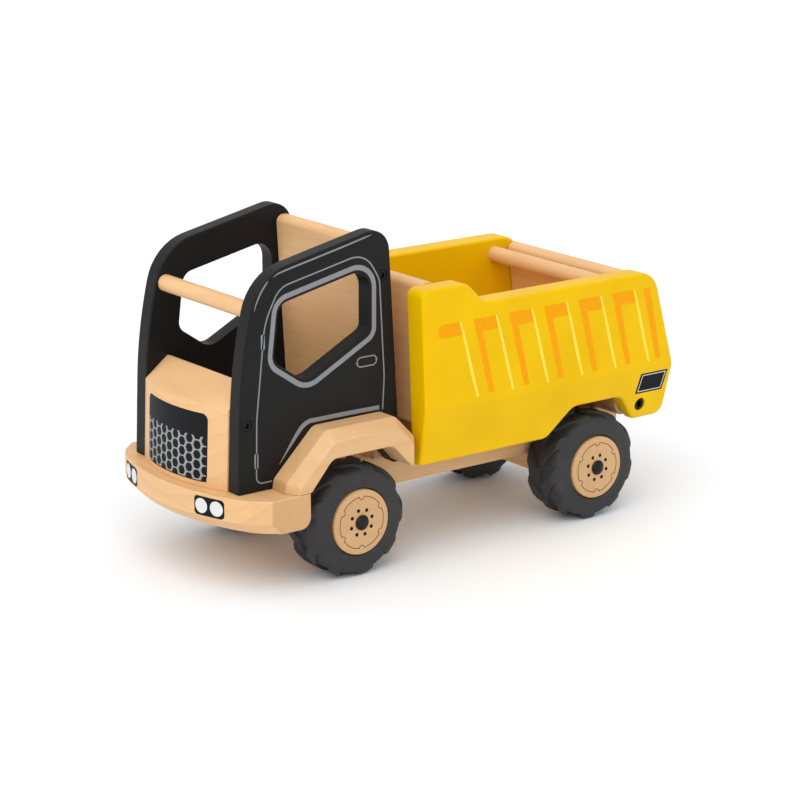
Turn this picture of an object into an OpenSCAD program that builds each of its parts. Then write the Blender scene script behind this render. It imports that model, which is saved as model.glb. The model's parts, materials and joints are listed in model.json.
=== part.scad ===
// Wooden toy tipper truck: natural wood chassis, black cab, yellow tipping box, rubber tyres.
// Millimetres, +X forwards, +Y to the truck's left, +Z up, origin on the ground under the middle.

/* [Wheels] */
// Outer radius of a tyre over its lugs
tyre_r = 34; // [33:0.5:35]
// Width of a tyre
tyre_w = 30; // [28:0.5:30]
// Radius of a wooden hub
hub_r = 19.5; // [18:0.1:21]
// Width of a wooden hub
hub_w = 31.5; // [30:0.5:31.5]
// Distance from the middle plane to a hub's outer face
hub_face_y = 68.7; // [68:0.1:70]
// Distance between the axles
wheelbase = 181; // [175:1:190]
// Radius of an axle rod
axle_r = 2.5; // [2:0.5:3]

/* [Chassis] */
// Height of the chassis underside above the ground
chassis_z = 40; // [39:0.5:41]
// Thickness of the chassis plank and of the bumper
plank_t = 20.4; // [20:0.1:21]
// Width of the chassis plank
chassis_w = 72; // [64:1:74]
// Width of the bumper
bumper_w = 148.8; // [146:0.2:150]
// Radius of the bumper's curved front, seen from above
bumper_arc_r = 150; // [140:5:170]
// Distance from the front axle to the bumper's foremost point
bumper_reach = 93; // [90:0.5:95]
// Height and depth of the chamfer under the bumper's front
bumper_chamfer = 6.5; // [4:0.5:7]

/* [Cab] */
// Width over the two black side panels
cab_w = 108.2; // [106:0.2:110]
// Thickness of a black side panel
cab_side_t = 10.7; // [9:0.1:12]
// Thickness of the cab's back panel
cab_back_t = 10.7; // [9:0.1:12]
// Radius of the front of the grille block, seen from above
grille_arc_r = 100; // [95:5:110]
// Diameter of the dowel across the windscreen and of the dowel across the box
dowel_d = 10; // [8:0.5:10]
// How far a mudguard's chamfer runs in from its outer face
mudguard_chamfer_in = 7.5; // [5:0.5:8]
// How far a mudguard's chamfer runs down its outer face
mudguard_chamfer_down = 5.5; // [4:0.5:6]

/* [Tipping box] */
// Width over the two yellow sides
box_w = 148.4; // [146:0.2:150]
// Thickness of a yellow side above its crease
box_side_t = 15.6; // [14:0.1:16]
// How far the lower part of a side leans in below the crease
box_bevel = 7.7; // [5:0.1:8]
// Height of the crease above the ground
box_crease_z = 93.8; // [92:0.1:96]
// Thickness of the box floor
box_floor_t = 9; // [8:0.5:10]
// Thickness of the board at the front of the box
bulkhead_t = 10; // [8:0.5:11]
// Thickness of the tailgate
tailgate_t = 10; // [9:0.5:10]

/* [Fasteners] */
// Radius of a tipping bolt's shank
pivot_bolt_r = 3; // [2.5:0.5:3]
// Running clearance around a shaft that something turns on
running_gap = 0.05; // [0.02:0.01:0.08]
// Gap between faces that pass each other
face_gap = 0.3; // [0.2:0.05:0.4]
// Thread radius of the wood screws
screw_r = 2; // [1.5:0.25:2]

/* [Hidden] */
$fn = 64;
deck_z = chassis_z + plank_t;
cab_y = cab_w / 2;
cab_in_y = cab_y - cab_side_t;
box_y = box_w / 2;
box_in_y = box_y - box_side_t;
bumper_y = bumper_w / 2;
dowel_r = dowel_d / 2;

// Everything below is measured from the front axle until place() moves it to the part's origin.
bumper_back_x = 39.7;
tail_x = -wheelbase - 56.3;
rear_x = -wheelbase;
origin_x = (bumper_reach + tail_x) / 2;

// The tipping hinge runs across the truck behind the rear axle.
pivot_x = rear_x - 34;
pivot_z = 68.9;
pivot_beam_r = 10.5;
chassis_rear_x = pivot_x - 11;

// Height of the box floor's underside, and the levels of a yellow side's outline.
floor_z = 81.1;
box_low_z = 58.8;
box_foot_z = 59.2;
box_arch_z = 76.7;
box_top_z = 153.6;
hump_z = 166.3;
bulkhead_x = -50;

// Front edge, roof line and rear edge of a black side panel: each vertex is [x, z, corner radius].
arch_top_z = 78;
roof_slope = 0.207;
CAB_OUTLINE = [
    [75.8, deck_z, 1.5], [73, 133.4, 284], [61, 185, 33], [-30.3, 203.9, 13], [-39.3, deck_z, 1.5],
    [-34.9, deck_z, 0], [-18.8, arch_top_z, 9], [24.1, arch_top_z, 8], [39.3, deck_z, 0]
];
WINDOW_OUTLINE = [
    [50.6, 134.8, 7], [28.8, 119.8, 11], [-16.5, 143, 5], [-16.5, 180.3, 10], [46.6, 167.2, 8]
];
CAB_SCREW_AT = [[-26, 174], [69.3, 100.4]];
WINDSCREEN_AT = [59.3, 163.6];

// Cab back panel: it leans with the rear edges of the side panels.
back_lean = 0.0628;
back_top_z = 194.4;
back_rear_x = -30.4 - back_lean * (188 - deck_z);

// Grille block: a curved front up to the crease, then a bevel up to a straight top edge.
grille_reach = 86.2;
grille_lean = 0.038;
grille_crease_z = 108.4;
grille_top_z = 120;
grille_top_x = 59.5;
grille_back_x = 57.5;

// Mudguard: full outline at the cab panel, and the smaller outline left on its outer face.
mudguard_z = 93.5;
mudguard_foot_z = 63.5;
MUDGUARD_OUTLINE = [
    [52.8, deck_z], [51.8, 66.5], [24.2, mudguard_z], [-25, mudguard_z], [-39.4, 78.8], [-39.4, mudguard_foot_z]
];
MUDGUARD_ROUND = [0, 5, 7, 7, 3, 2];

box_dowel_x = rear_x - 20.5;

// Tailgate: hangs from pins near its top edge and leans back towards its foot.
tailgate_pin_x = pivot_x - 2;
tailgate_pin_z = 145;
tailgate_lean = 9.5;
tailgate_len = 68;
tailgate_gap = 0.4;
pin_r = 2;

// Small hardware
axle_cap_r = 4.6;
bolt_head_r = 3.6;
bolt_head_t = 3.4;
bolt_recess_r = 4.1;
cab_head_r = 3.2;
cab_head_t = 2.4;
cab_screw_len = 30;
screw_head_r = 3.6;
screw_head_t = 2.6;
pilot_r = screw_r;
clear_r = screw_r + 0.2;
peg_r = 3;
peg_len = 16;
beam_half = box_in_y - 0.8;
washer_t = 0.5;

// Screws driven upwards: [x, y, z of the head's underside face, total length]
UP_SCREWS = [
    for (s = [-1, 1]) each [
        [66, s * 28, chassis_z + 2, 36], [-33, s * 28, chassis_z + 2, 40],
        [-85, s * 18, chassis_z + 2, 34], [pivot_x, s * 20, chassis_z + 2, 32],
        for (e = [-12, 12]) each [
            [e, s * 16, chassis_z - 11.5, 26], [rear_x + e, s * 16, chassis_z - 11.5, 26]
        ]
    ]
];
MUDGUARD_PEGS = [[-12, 86], [33, 74]];
BOX_PEGS = [
    [bulkhead_x - bulkhead_t / 2, 105], [bulkhead_x - bulkhead_t / 2, 145],
    for (i = [0:2]) [bulkhead_x - 40 - 40 * i, floor_z + box_floor_t / 2]
];

// ---- Outlines ----

function unit(v) = v / norm(v);

// Points of the arc that rounds corner p, between neighbours a and b, with radius r
function corner(a, p, b, r, n) =
    r == 0 ? [p] :
    let (
        u = unit(a - p),
        v = unit(b - p),
        half = acos(u * v) / 2,
        c = p + unit(u + v) * r / sin(half),
        p0 = p + u * r / tan(half) - c,
        p1 = p + v * r / tan(half) - c,
        start = atan2(p0[1], p0[0]),
        turn = (atan2(p1[1], p1[0]) - start + 540) % 360 - 180
    )
    [for (i = [0:n]) c + r * [cos(start + turn * i / n), sin(start + turn * i / n)]];

function xy(p) = [p[0], p[1]];

// A closed outline from [x, z, radius] vertices, each corner an arc of n steps
function rounded(v, n = 8) =
    let (k = len(v))
    [for (i = [0:k - 1]) each corner(xy(v[(i + k - 1) % k]), xy(v[i]), xy(v[(i + 1) % k]), v[i][2], n)];

module extrude_y(y0, y1) translate([0, y1, 0]) rotate([90, 0, 0]) linear_extrude(y1 - y0) children();

module extrude_x(x0, x1) translate([x0, 0, 0]) rotate([90, 0, 90]) linear_extrude(x1 - x0) children();

module rod_y(x, z, r, y0, y1) translate([x, y1, z]) rotate([90, 0, 0]) cylinder(r = r, h = y1 - y0);

// Left side as drawn, right side mirrored
module on_side(s) if (s > 0) children(); else mirror([0, 1, 0]) children();

module both_sides() for (s = [-1, 1]) on_side(s) children();

// From front-axle coordinates to the part's own frame
module place() translate([-origin_x, 0, 0]) children();

// ---- Holes for the upward screws ----

module screw_bores(r) for (p = UP_SCREWS) translate([p[0], p[1], p[2]]) cylinder(r = r, h = p[3]);

module screw_recesses() for (p = UP_SCREWS) translate([p[0], p[1], p[2] - 12]) cylinder(r = screw_head_r + 0.4, h = 12);

// ---- Chassis ----

module chassis_plank() color("burlywood") place() difference() {
    translate([chassis_rear_x, -chassis_w / 2, chassis_z])
        cube([bumper_back_x - chassis_rear_x, chassis_w, plank_t]);
    for (p = UP_SCREWS) if (p[2] > chassis_z) {
        translate([p[0], p[1], p[2]]) cylinder(r = clear_r, h = p[3]);
        translate([p[0], p[1], p[2] - 12]) cylinder(r = screw_head_r + 0.4, h = 12 + screw_head_t);
    } else translate([p[0], p[1], p[2]]) cylinder(r = pilot_r, h = p[3]);
    for (s = [-1, 1]) translate([bumper_back_x - 16, 20 * s, chassis_z + plank_t / 2])
        rotate([0, 90, 0]) cylinder(r = 4, h = 20);
}

axle_block_l = 40;
axle_block_h = 13.5;

module axle_block(x) color("burlywood") place() difference() {
    translate([x - axle_block_l / 2, -chassis_w / 2, chassis_z - axle_block_h])
        cube([axle_block_l, chassis_w, axle_block_h]);
    rod_y(x, tyre_r, axle_r, -chassis_w, chassis_w);
    screw_bores(clear_r);
    for (p = UP_SCREWS) translate([p[0], p[1], p[2] - 12]) cylinder(r = screw_head_r + 0.4, h = 12 + screw_head_t);
}

module bumper_plan(inset) {
    arc_r = bumper_arc_r - inset;
    intersection() {
        translate([bumper_reach - bumper_arc_r, 0]) circle(r = arc_r, $fn = 180);
        polygon(rounded([
            [bumper_back_x, -bumper_y, 0], [66 - inset, -bumper_y, 3], [77.5 - inset, -64.2, 25], [99.2 - inset, -20, 0],
            [99.2 - inset, 20, 0], [77.5 - inset, 64.2, 25], [66 - inset, bumper_y, 3], [bumper_back_x, bumper_y, 0]
        ]));
    }
}

module bumper() color("burlywood") place() difference() {
    intersection() {
        hull() {
            translate([0, 0, chassis_z + bumper_chamfer])
                linear_extrude(plank_t - bumper_chamfer) bumper_plan(0);
            translate([0, 0, chassis_z]) linear_extrude(0.01) bumper_plan(bumper_chamfer);
        }
        extrude_y(-bumper_y, bumper_y) polygon(rounded([
            [bumper_back_x, deck_z, 0], [bumper_back_x, chassis_z, 6.5], [120, chassis_z, 0], [120, deck_z, 0]
        ]));
    }
    for (p = UP_SCREWS) if (p[0] > bumper_back_x) {
        translate([p[0], p[1], p[2]]) cylinder(r = clear_r, h = p[3]);
        translate([p[0], p[1], p[2] - 12]) cylinder(r = screw_head_r + 0.4, h = 12 + screw_head_t);
    }
    for (s = [-1, 1]) translate([bumper_back_x - 1, 20 * s, chassis_z + plank_t / 2])
        rotate([0, 90, 0]) cylinder(r = 4, h = 17);
}

module bumper_dowels() color("tan") place() for (s = [-1, 1])
    translate([bumper_back_x - 15.5, 20 * s, chassis_z + plank_t / 2]) rotate([0, 90, 0]) cylinder(r = 4, h = 31);

module chassis_screws() color("silver") place() for (p = UP_SCREWS) translate([p[0], p[1], p[2]]) difference() {
    union() {
        cylinder(r = screw_head_r, h = screw_head_t);
        cylinder(r = screw_r, h = p[3]);
    }
    translate([0, 0, -1]) cylinder(r = 1.6, h = 2.6, $fn = 6);
}

// ---- Cab ----

module grille_front(z) {
    shift = grille_lean * (z - deck_z);
    translate([grille_reach - grille_arc_r - shift, 0]) intersection() {
        circle(r = grille_arc_r, $fn = 180);
        translate([0, -cab_in_y]) square([grille_arc_r, 2 * cab_in_y]);
    }
}

module grille_block() color("burlywood") place() difference() {
    intersection() {
        hull() {
            translate([0, 0, deck_z]) linear_extrude(0.01) grille_front(deck_z);
            translate([0, 0, grille_crease_z]) linear_extrude(0.01) grille_front(grille_crease_z);
            translate([grille_back_x, -cab_in_y, deck_z])
                cube([grille_top_x - grille_back_x, 2 * cab_in_y, grille_top_z - deck_z]);
        }
        translate([grille_back_x, -cab_in_y, deck_z]) cube([60, 2 * cab_in_y, grille_top_z]);
    }
    screw_bores(pilot_r);
    both_sides() rod_y(CAB_SCREW_AT[1][0], CAB_SCREW_AT[1][1], pilot_r, cab_y - cab_screw_len, cab_y);
}

module cab_side() difference() {
    extrude_y(cab_in_y, cab_y) difference() {
        polygon(rounded(CAB_OUTLINE));
        polygon(rounded(WINDOW_OUTLINE));
    }
    rod_y(WINDSCREEN_AT[0], WINDSCREEN_AT[1], dowel_r, cab_in_y - 1, cab_in_y + 5);
    for (p = CAB_SCREW_AT) {
        rod_y(p[0], p[1], clear_r, cab_in_y - 1, cab_y + 1);
        rod_y(p[0], p[1], cab_head_r + 0.2, cab_y - cab_head_t - 0.4, cab_y + 1);
    }
    for (p = MUDGUARD_PEGS) rod_y(p[0], p[1], peg_r, cab_y - peg_len / 2, cab_y + 1);
}

module cab_side_left() color([0.18, 0.18, 0.18]) place() cab_side();

module cab_side_right() color([0.18, 0.18, 0.18]) place() mirror([0, 1, 0]) cab_side();

module cab_back_panel() color("burlywood") place() difference() {
    lean = back_lean * (back_top_z - deck_z);
    extrude_y(-cab_in_y, cab_in_y) polygon(rounded([
        [back_rear_x, deck_z, 0], [back_rear_x + cab_back_t, deck_z, 0],
        [back_rear_x + cab_back_t + lean, back_top_z, 4.5], [back_rear_x + lean, back_top_z, 4.5]
    ]));
    screw_bores(pilot_r);
    both_sides() rod_y(CAB_SCREW_AT[0][0], CAB_SCREW_AT[0][1], pilot_r, cab_y - cab_screw_len, cab_y);
}

module windscreen_dowel() color("burlywood") place()
    rod_y(WINDSCREEN_AT[0], WINDSCREEN_AT[1], dowel_r, -cab_in_y - 4.8, cab_in_y + 4.8);

// The mudguard's outline, drawn in by d on its front, top and rear
module mudguard_outline(d) {
    grow = [[-0.9, 0], [-0.9, -0.35], [-0.4, -1], [0.42, -1], [1, -0.42], [1, 0]];
    v = [for (i = [0:5]) [for (k = [0, 1]) MUDGUARD_OUTLINE[i][k] + d * grow[i][k]]];
    polygon(rounded([for (i = [0:5]) [v[i][0], v[i][1], MUDGUARD_ROUND[i]]]));
}

module mudguard() difference() {
    hull() {
        extrude_y(cab_y, bumper_y - mudguard_chamfer_in) mudguard_outline(0);
        extrude_y(cab_y, bumper_y) mudguard_outline(mudguard_chamfer_down);
    }
    extrude_y(cab_y - 1, bumper_y + 1) polygon(rounded([
        [-38.5, deck_z - 0.01, 0], [-34.9, deck_z - 0.01, 0], [-18.8, arch_top_z, 9],
        [24.1, arch_top_z, 8], [39.3, deck_z - 0.01, 0]
    ]));
    for (p = MUDGUARD_PEGS) rod_y(p[0], p[1], peg_r, cab_y - 1, cab_y + peg_len / 2);
}

module mudguard_left() color("burlywood") place() mudguard();

module mudguard_right() color("burlywood") place() mirror([0, 1, 0]) mudguard();

module mudguard_dowels() color("tan") place() both_sides() for (p = MUDGUARD_PEGS)
    rod_y(p[0], p[1], peg_r, cab_y - peg_len / 2 + 0.2, cab_y + peg_len / 2 - 0.2);

// A hex-socket screw along Y with its head's outer face at y
module socket_screw(x, z, y, head_r, head_t, shank_r, length) difference() {
    union() {
        rod_y(x, z, head_r, y - head_t, y);
        rod_y(x, z, shank_r, y - length, y);
    }
    translate([x, y + 1, z]) rotate([90, 0, 0]) cylinder(r = head_r * 0.5, h = 1 + head_t * 0.6, $fn = 6);
}

module cab_screws() color([0.1, 0.1, 0.1]) place() both_sides() for (p = CAB_SCREW_AT)
    socket_screw(p[0], p[1], cab_y - 0.3, cab_head_r, cab_head_t, screw_r, cab_screw_len - 0.6);

// ---- Tipping gear on the chassis ----

module tipper_rest_block() color("burlywood") place() difference() {
    translate([-100, -30, deck_z]) cube([30, 60, floor_z - face_gap - deck_z]);
    screw_bores(pilot_r);
}

module pivot_beam() color("burlywood") place() difference() {
    rod_y(pivot_x, pivot_z, pivot_beam_r, -beam_half, beam_half);
    translate([pivot_x - 20, -beam_half - 1, deck_z - 20]) cube([40, 2 * beam_half + 2, 20]);
    screw_bores(pilot_r);
    both_sides() rod_y(pivot_x, pivot_z, 4.5, beam_half - 20, beam_half + 1);
}

module pivot_inserts() color("gold") place() both_sides() difference() {
    rod_y(pivot_x, pivot_z, 4.5, beam_half - 19.5, beam_half);
    rod_y(pivot_x, pivot_z, pivot_bolt_r, beam_half - 25, beam_half + 1);
}

module pivot_bolts() color([0.1, 0.1, 0.1]) place() both_sides()
    socket_screw(pivot_x, pivot_z, box_y - 6, bolt_head_r, bolt_head_t, pivot_bolt_r, 28);

module pivot_washers() color("silver") place() both_sides() difference() {
    rod_y(pivot_x, pivot_z, 7, beam_half, beam_half + washer_t);
    rod_y(pivot_x, pivot_z, pivot_bolt_r, beam_half - 1, beam_half + 1);
}

// ---- Axles and wheels ----

module axle(x) color("silver") place() rod_y(x, tyre_r, axle_r, -hub_face_y, hub_face_y);

module axle_caps() color([0.1, 0.1, 0.1]) place() for (x = [0, rear_x]) both_sides() {
    y = hub_face_y + face_gap;
    difference() {
        translate([x, y, tyre_r]) rotate([-90, 0, 0]) rotate_extrude()
            polygon([[0, 0], [axle_cap_r, 0], [axle_cap_r, 0.6], [3.4, 1.4], [1.8, 1.8], [0, 1.9]]);
        rod_y(x, tyre_r, axle_r - 0.1, y - 1, y + 0.5);
    }
}

module axle_washers() color("silver") place() for (x = [0, rear_x]) both_sides() difference() {
    rod_y(x, tyre_r, 7, chassis_w / 2, chassis_w / 2 + 0.9);
    rod_y(x, tyre_r, axle_r, chassis_w / 2 - 1, chassis_w / 2 + 3);
}

module hub(x, s) color("burlywood") place() on_side(s) difference() {
    translate([x, hub_face_y, tyre_r]) rotate([90, 0, 0]) rotate_extrude($fn = 96) polygon([
        [0, 0], [hub_r - 0.7, 0], [hub_r, 0.7], [hub_r, hub_w - 0.7], [hub_r - 0.7, hub_w], [0, hub_w]
    ]);
    rod_y(x, tyre_r, axle_r + running_gap, hub_face_y - hub_w - 1, hub_face_y + 1);
}

// Half of a tyre's section from its bead to its tread: [radius, distance in from the lip's face]
TYRE_SECTION = [
    [hub_r, 0.5], [hub_r + 0.5, 0], [hub_r + 2.2, 0], [hub_r + 3.2, 0.7],
    [tyre_r - 5.5, 0.9], [tyre_r - 2.8, 1.7], [tyre_r - 1, 2.8], [tyre_r, 4]
];

module tyre(x, s) color([0.22, 0.22, 0.23]) place() on_side(s) {
    k = len(TYRE_SECTION);
    translate([x, hub_face_y - hub_w, tyre_r]) rotate([-90, 0, 0]) rotate_extrude($fn = 96) polygon([
        each TYRE_SECTION,
        for (i = [k - 1:-1:0]) [TYRE_SECTION[i][0], tyre_w - TYRE_SECTION[i][1]]
    ]);
}

// ---- Tipping box ----

BOX_OUTLINE = [
    [-44, box_low_z, 2], [-39.3, hump_z, 5], [-73, hump_z, 8], [-86, box_top_z, 8],
    [rear_x - 39, box_top_z, 15], [tail_x - 0.2, 92, 20], [tail_x + 1.7, box_foot_z, 7],
    [rear_x - 30.3, box_foot_z, 4], [rear_x - 17, box_arch_z, 9],
    [rear_x + 21.5, box_arch_z, 10], [rear_x + 39.5, box_low_z, 8]
];

module box_side() difference() {
    intersection() {
        extrude_y(box_in_y, box_y) polygon(rounded(BOX_OUTLINE));
        extrude_x(tail_x - 10, 0) polygon([
            [box_in_y, 0], [box_y - box_bevel, 0], [box_y - box_bevel, box_low_z],
            [box_y, box_crease_z], [box_y, 200], [box_in_y, 200]
        ]);
    }
    rod_y(pivot_x, pivot_z, pivot_bolt_r + running_gap, box_in_y - 1, box_y);
    rod_y(pivot_x, pivot_z, bolt_recess_r, box_y - 6 - bolt_head_t - face_gap, box_y);
    rod_y(box_dowel_x, box_top_z - 10.1, dowel_r, box_in_y - 1, box_in_y + 8);
    rod_y(tailgate_pin_x, tailgate_pin_z, pin_r, box_in_y - 1, box_in_y + 8);
    for (p = BOX_PEGS) rod_y(p[0], p[1], peg_r, box_in_y - 1, box_in_y + peg_len / 2);
}

module box_side_left() color("gold") place() box_side();

module box_side_right() color("gold") place() mirror([0, 1, 0]) box_side();

// Inner face of the tailgate at height z
function tailgate_in_x(z) = tailgate_pin_x + tailgate_t / 2 / cos(tailgate_lean) - (tailgate_pin_z - z) * tan(tailgate_lean);

module box_floor() color("burlywood") place() difference() {
    extrude_y(-box_in_y, box_in_y) polygon([
        [bulkhead_x - bulkhead_t, floor_z], [bulkhead_x - bulkhead_t, floor_z + box_floor_t],
        [tailgate_in_x(floor_z + box_floor_t) + tailgate_gap, floor_z + box_floor_t],
        [tailgate_in_x(floor_z) + tailgate_gap, floor_z]
    ]);
    both_sides() for (p = BOX_PEGS) rod_y(p[0], p[1], peg_r, box_in_y - peg_len / 2, box_in_y + 1);
}

module bulkhead() color("burlywood") place() difference() {
    extrude_y(-box_in_y, box_in_y) polygon(rounded([
        [bulkhead_x, floor_z, 0], [bulkhead_x, hump_z + 0.7, 4], [bulkhead_x - bulkhead_t, hump_z + 0.7, 4],
        [bulkhead_x - bulkhead_t, floor_z, 0]
    ]));
    both_sides() for (p = BOX_PEGS) rod_y(p[0], p[1], peg_r, box_in_y - peg_len / 2, box_in_y + 1);
}

module box_dowel() color("burlywood") place()
    rod_y(box_dowel_x, box_top_z - 10.1, dowel_r, -box_in_y - 7.8, box_in_y + 7.8);

module box_pegs() color("tan") place() both_sides() for (p = BOX_PEGS)
    rod_y(p[0], p[1], peg_r, box_in_y - peg_len / 2 + 0.2, box_in_y + peg_len / 2 - 0.2);

module tailgate_pins() color("silver") place() both_sides()
    rod_y(tailgate_pin_x, tailgate_pin_z, pin_r, box_in_y - 8, box_in_y + 7.8);

module tailgate() color("burlywood") place() difference() {
    half = box_in_y - tailgate_gap;
    translate([tailgate_pin_x, 0, tailgate_pin_z]) rotate([0, tailgate_lean, 0]) union() {
        rod_y(0, 0, tailgate_t / 2, -half, half);
        translate([-tailgate_t / 2, -half, -tailgate_len]) cube([tailgate_t, 2 * half, tailgate_len]);
    }
    both_sides() rod_y(tailgate_pin_x, tailgate_pin_z, pin_r + running_gap, half - 8, half + 1);
}

chassis_plank();
axle_block(0);  // front_axle_block
axle_block(rear_x);  // rear_axle_block
bumper();
bumper_dowels();
grille_block();
cab_side_left();
cab_side_right();
cab_back_panel();
windscreen_dowel();
mudguard_left();
mudguard_right();
mudguard_dowels();
cab_screws();
chassis_screws();
tipper_rest_block();
pivot_beam();
pivot_inserts();
pivot_bolts();
pivot_washers();
axle(0);  // front_axle
axle(rear_x);  // rear_axle
axle_caps();
axle_washers();
hub(0, 1);  // hub_front_left
hub(0, -1);  // hub_front_right
hub(rear_x, 1);  // hub_rear_left
hub(rear_x, -1);  // hub_rear_right
tyre(0, 1);  // tyre_front_left
tyre(0, -1);  // tyre_front_right
tyre(rear_x, 1);  // tyre_rear_left
tyre(rear_x, -1);  // tyre_rear_right
box_side_left();
box_side_right();
box_floor();
bulkhead();
box_dowel();
box_pegs();
tailgate_pins();
tailgate();
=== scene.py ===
"""Looks of the wooden tipper truck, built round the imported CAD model.

Metres, in the part's frame. Lengths in tables are millimetres measured from the front axle,
and at() turns them into the part's frame.
"""

import json
import math

import bmesh
import bpy
from mathutils import Matrix, Vector
from mathutils.geometry import delaunay_2d_cdt


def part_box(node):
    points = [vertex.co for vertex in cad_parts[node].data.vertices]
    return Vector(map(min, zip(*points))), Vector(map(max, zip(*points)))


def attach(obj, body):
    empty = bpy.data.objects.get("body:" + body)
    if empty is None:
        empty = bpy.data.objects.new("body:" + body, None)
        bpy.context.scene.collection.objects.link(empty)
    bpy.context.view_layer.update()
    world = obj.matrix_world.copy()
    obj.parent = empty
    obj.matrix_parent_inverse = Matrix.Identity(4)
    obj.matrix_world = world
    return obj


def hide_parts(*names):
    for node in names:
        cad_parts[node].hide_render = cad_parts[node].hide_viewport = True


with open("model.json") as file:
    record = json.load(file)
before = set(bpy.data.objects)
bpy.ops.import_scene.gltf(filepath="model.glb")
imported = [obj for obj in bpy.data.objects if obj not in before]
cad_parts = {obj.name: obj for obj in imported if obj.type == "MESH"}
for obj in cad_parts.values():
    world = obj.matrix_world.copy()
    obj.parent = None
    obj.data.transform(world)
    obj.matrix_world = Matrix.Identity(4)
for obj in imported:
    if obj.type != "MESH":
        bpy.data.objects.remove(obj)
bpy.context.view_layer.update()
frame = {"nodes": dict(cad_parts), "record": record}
NODES = frame["nodes"]
BODY_OF = {n: b for b, names in frame["record"]["behaviour"]["bodies"].items() for n in names}
MM = 0.001


def middle(node):
    lo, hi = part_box(node)
    return (lo + hi) / 2


def reach_y(node):
    """Inner and outer y of a left-hand node, in millimetres."""
    lo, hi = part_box(node)
    return lo.y / MM, hi.y / MM


FRONT_X = middle("front_axle").x
REAR_X = middle("rear_axle").x
WHEELBASE = (FRONT_X - REAR_X) / MM
AXLE_Z = middle("front_axle").z / MM
CAB_IN_Y, CAB_Y = reach_y("cab_side_left")
BOX_IN_Y, BOX_Y = reach_y("box_side_left")
HUB_BACK_Y, HUB_FACE_Y = reach_y("hub_front_left")
HUB_R = (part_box("hub_front_left")[1].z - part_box("hub_front_left")[0].z) / 2 / MM
SIDES = {"left": 1, "right": -1}

# Outlines of the side boards, as in the CAD: (x, z, corner radius)
CAB_OUTLINE = [
    (75.8, 60.4, 1.5), (73, 133.4, 284), (61, 185, 33), (-30.3, 203.9, 13), (-39.3, 60.4, 1.5),
    (-34.9, 60.4, 0), (-18.8, 78, 9), (24.1, 78, 8), (39.3, 60.4, 0),
]
WINDOW_OUTLINE = [(50.6, 134.8, 7), (28.8, 119.8, 11), (-16.5, 143, 5), (-16.5, 180.3, 10), (46.6, 167.2, 8)]
# The printed band round a window runs just outside this path
BAND_OUTLINE = [(51.6, 134, 8), (28, 117.8, 12), (-17.8, 141.2, 6), (-17.8, 181.8, 11), (47.4, 168.3, 9)]
CAB_SCREWS = ((-26, 174), (69.3, 100.4))
CAB_EDGE = 1.1
BOX_OUTLINE = [
    (-44, 58.8, 2), (-39.3, 166.3, 5), (-73, 166.3, 8), (-86, 153.6, 8), (-WHEELBASE - 39, 153.6, 15),
    (-WHEELBASE - 56.5, 92, 20), (-WHEELBASE - 54.6, 59.2, 7), (-WHEELBASE - 30.3, 59.2, 4),
    (-WHEELBASE - 17, 76.7, 9), (-WHEELBASE + 21.5, 76.7, 10), (-WHEELBASE + 39.5, 58.8, 8),
]
BOX_EDGE = 1.9
PIVOT_X, PIVOT_Z = -WHEELBASE - 34, 68.9
# Below this height a yellow side leans in; its crease is rounded over this reach above and below
CREASE_Z, CREASE_SOFT = 93.8, 1.6


def at(x, y, z):
    """A point in the part's frame from millimetres measured from the front axle."""
    return Vector((x * MM + FRONT_X, y * MM, z * MM))


# ---- Camera, lights and floor ----

def new_object(name, data):
    made = bpy.data.objects.new(name, data)
    bpy.context.scene.collection.objects.link(made)
    return made


def direction_to(azimuth, elevation):
    """The unit vector towards an azimuth and an elevation in degrees."""
    a, e = math.radians(azimuth), math.radians(elevation)
    return Vector((math.cos(a) * math.cos(e), math.sin(a) * math.cos(e), math.sin(e)))


def make_camera():
    back = direction_to(52.53, 15.58)
    roll = math.radians(0.143)
    right = Vector((0, 0, 1)).cross(back).normalized()
    up = back.cross(right)
    turned_right = math.cos(roll) * right + math.sin(roll) * up
    turned_up = math.cos(roll) * up - math.sin(roll) * right
    data = bpy.data.cameras.new("camera")
    data.sensor_width = 36
    data.lens = 122.636
    data.clip_start = 0.05
    data.clip_end = 60
    camera = new_object("camera", data)
    rows = Matrix((turned_right, turned_up, back)).transposed().to_4x4()
    camera.matrix_world = Matrix.Translation((0.96632, 1.27130, 0.52534)) @ rows
    bpy.context.scene.camera = camera


def make_light(name, kind, azimuth, elevation, power, size, distance=3.0):
    """A soft sun (size is its angle in degrees) or a square softbox (size in metres), aimed at the truck."""
    direction = direction_to(azimuth, elevation)
    data = bpy.data.lights.new(name, kind)
    data.energy = power
    if kind == "SUN":
        data.angle = math.radians(size)
    else:
        data.shape = "SQUARE"
        data.size = size
    light = new_object(name, data)
    light.location = direction * distance + Vector((0, 0, 0.1))
    light.rotation_mode = "QUATERNION"
    light.rotation_quaternion = direction.to_track_quat("Z", "Y")


def make_world():
    scene = bpy.context.scene
    world = bpy.data.worlds.new("studio")
    scene.world = world
    world.use_nodes = True
    background = world.node_tree.nodes["Background"]
    background.inputs["Color"].default_value = (1.0, 0.995, 0.985, 1)
    background.inputs["Strength"].default_value = 0.88
    scene.view_settings.view_transform = "Standard"
    scene.view_settings.look = "None"


# ---- Materials ----

def material(name, grain, seed):
    """A new material, its node tree and shader, and the coordinates that its patterns are drawn in."""
    made = bpy.data.materials.new(name)
    made.use_nodes = True
    tree = made.node_tree
    return made, tree, tree.nodes["Principled BSDF"], grain_space(tree, grain, seed)


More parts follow.
